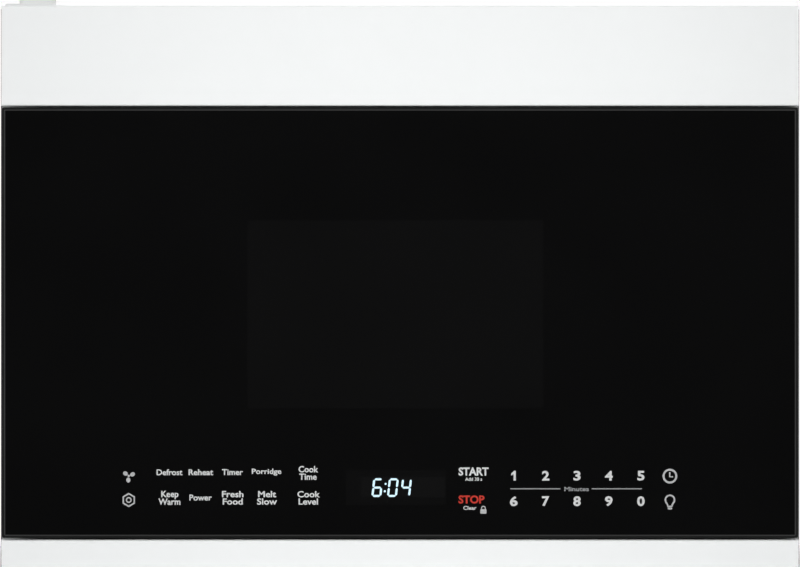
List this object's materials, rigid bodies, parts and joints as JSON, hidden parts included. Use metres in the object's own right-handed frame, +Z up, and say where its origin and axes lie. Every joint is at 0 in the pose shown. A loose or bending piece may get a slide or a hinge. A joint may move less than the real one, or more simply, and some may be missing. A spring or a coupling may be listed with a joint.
{
  "type": "over-the-range microwave",
  "caption": "Narrow over-the-range microwave: full-width glass door hung on the left, turntable cavity, vent grille above, grease filters and lamp below.",
  "frame": {"origin": "on the plane it stands on, under the middle of its bounding box", "axes": "+X to the right seen from the front, +Y to the wall behind, +Z up; the door faces -Y"},
  "size_m": [0.6064, 0.402, 0.4386],
  "materials": {
    "white_paint": "smooth semi-gloss paint",
    "galvanised": "galvanised sheet",
    "white_plastic": "semi-gloss moulding",
    "black_glass": "black back-printed glass",
    "black_plastic": "fine moulded grain",
    "cavity_enamel": "light grey enamel",
    "choke_steel": "black coated steel",
    "clear_pane": "clear inner pane",
    "tray_glass": "pressed glass",
    "mica": "mica sheet",
    "grey_plastic": "moulded",
    "aluminium": "bare",
    "carbon": "activated charcoal",
    "steel": "zinc plated",
    "core_iron": "varnished laminations",
    "copper_winding": "enamelled wire",
    "board_green": "solder mask",
    "display_black": "display window",
    "fan_plastic": "moulded",
    "wheel_steel": "pressed sheet",
    "lamp_white": "frosted diffuser",
    "lamp_glass": "clear bulb",
    "ceramic_white": "unglazed"
  },
  "bodies": {
    "cabinet": {"back_plate": "galvanised", "back_screws": "steel", "base_plate": "galvanised", "blower_housing": "galvanised", "blower_motor": "steel", "cabinet_wrap": "white_paint", "capacitor_clamp": "galvanised", "cavity_back": "cavity_enamel", "cavity_floor": "cavity_enamel", "cavity_lamp": "ceramic_white", "cavity_wrap": "cavity_enamel", "charcoal_filter_frame": "black_plastic", "charcoal_filter_media": "carbon", "component_shelf": "galvanised", "cooktop_lamp_bulb": "lamp_glass", "cooktop_lamp_socket": "ceramic_white", "cooling_fan_motor": "steel", "cooling_fan_shroud": "galvanised", "cord_bushing": "white_plastic", "duct_cover": "galvanised", "front_frame": "cavity_enamel", "hinge_lower": "galvanised", "hinge_upper": "galvanised", "hv_capacitor": "aluminium", "interlock_holder": "black_plastic", "interlock_switches": "fan_plastic", "lower_trim": "white_plastic", "magnetron_core": "core_iron", "magnetron_fins": "aluminium", "magnetron_yoke": "galvanised", "mounting_nuts": "steel", "power_board": "board_green", "transformer_core": "core_iron", "transformer_windings": "copper_winding", "turntable_motor": "steel", "vent_grille": "white_plastic", "waveguide": "galvanised", "waveguide_cover": "mica"},
    "door": {"door_glass": "black_glass", "door_frame": "black_plastic", "choke_pan": "choke_steel", "door_screen": "choke_steel", "choke_cover": "black_plastic", "inner_window": "clear_pane", "touch_board": "board_green", "display_module": "display_black"},
    "latch": {"latch_bar": "black_plastic", "latch_spring": "steel"},
    "plungers": {"switch_plungers": "fan_plastic"},
    "turntable": {"turntable_coupler": "grey_plastic"},
    "tray": {"glass_tray": "tray_glass"},
    "ring": {"roller_ring": "grey_plastic"},
    "roller_1": {"roller_1": "grey_plastic"},
    "roller_2": {"roller_2": "grey_plastic"},
    "roller_3": {"roller_3": "grey_plastic"},
    "blower": {"blower_wheels": "wheel_steel"},
    "cooling_fan": {"cooling_fan_blade": "fan_plastic"},
    "filter_left": {"grease_filter_left": "aluminium"},
    "filter_right": {"grease_filter_right": "aluminium"},
    "lamp_cover": {"lamp_cover": "lamp_white"}
  },
  "joints": [
    {"name": "door_swing", "type": "hinge", "parent": "cabinet", "child": "door", "pos_m": [-0.2897, -0.172, 0.19], "axis": [0, 0, -1], "range_deg": [0, 100]},
    {"name": "latch_lift", "type": "slide", "parent": "door", "child": "latch", "axis": [0, 0, 1], "range_m": [0, 0.003], "stiffness_N_per_m": 600, "springref_m": -0.002, "deforming": ["latch_spring"]},
    {"name": "plunger_travel", "type": "slide", "parent": "cabinet", "child": "plungers", "axis": [0, -1, 0], "range_m": [0, 0.0012]},
    {"name": "turntable_spin", "type": "hinge", "parent": "cabinet", "child": "turntable", "pos_m": [-0.034, 0.002, 0.084], "axis": [0, 0, 1], "continuous": true},
    {"name": "tray_lift", "type": "slide", "parent": "turntable", "child": "tray", "axis": [0, 0, 1], "range_m": [0, 0.06]},
    {"name": "ring_turn", "type": "hinge", "parent": "cabinet", "child": "ring", "pos_m": [-0.034, 0.002, 0.0921], "axis": [0, 0, 1], "continuous": true},
    {"name": "roller_1_roll", "type": "hinge", "parent": "ring", "child": "roller_1", "pos_m": [0.04914, 0.05, 0.0921], "axis": [0.866, 0.5, 0], "continuous": true},
    {"name": "roller_2_roll", "type": "hinge", "parent": "ring", "child": "roller_2", "pos_m": [-0.11714, 0.05, 0.0921], "axis": [-0.866, 0.5, 0], "continuous": true},
    {"name": "roller_3_roll", "type": "hinge", "parent": "ring", "child": "roller_3", "pos_m": [-0.034, -0.094, 0.0921], "axis": [0, -1, 0], "continuous": true},
    {"name": "blower_spin", "type": "hinge", "parent": "cabinet", "child": "blower", "pos_m": [0, 0.118, 0.368], "axis": [1, 0, 0], "continuous": true},
    {"name": "cooling_fan_spin", "type": "hinge", "parent": "cabinet", "child": "cooling_fan", "pos_m": [0.2375, 0.136, 0.25], "axis": [0, 1, 0], "continuous": true},
    {"name": "filter_left_slide", "type": "slide", "parent": "cabinet", "child": "filter_left", "axis": [0, 1, 0], "range_m": [0, 0.01]},
    {"name": "filter_right_slide", "type": "slide", "parent": "cabinet", "child": "filter_right", "axis": [0, 1, 0], "range_m": [0, 0.01]},
    {"name": "lamp_cover_swing", "type": "hinge", "parent": "cabinet", "child": "lamp_cover", "pos_m": [0, -0.087, 0.004], "axis": [1, 0, 0], "range_deg": [0, 90]}
  ],
  "couplings": [
    {"joint": "plunger_travel", "follows": "door_swing", "m_per_rad": 0.000687},
    {"joint": "ring_turn", "follows": "turntable_spin", "ratio": 0.5},
    {"joint": "roller_1_roll", "follows": "turntable_spin", "ratio": -6},
    {"joint": "roller_2_roll", "follows": "turntable_spin", "ratio": -6},
    {"joint": "roller_3_roll", "follows": "turntable_spin", "ratio": -6}
  ]
}
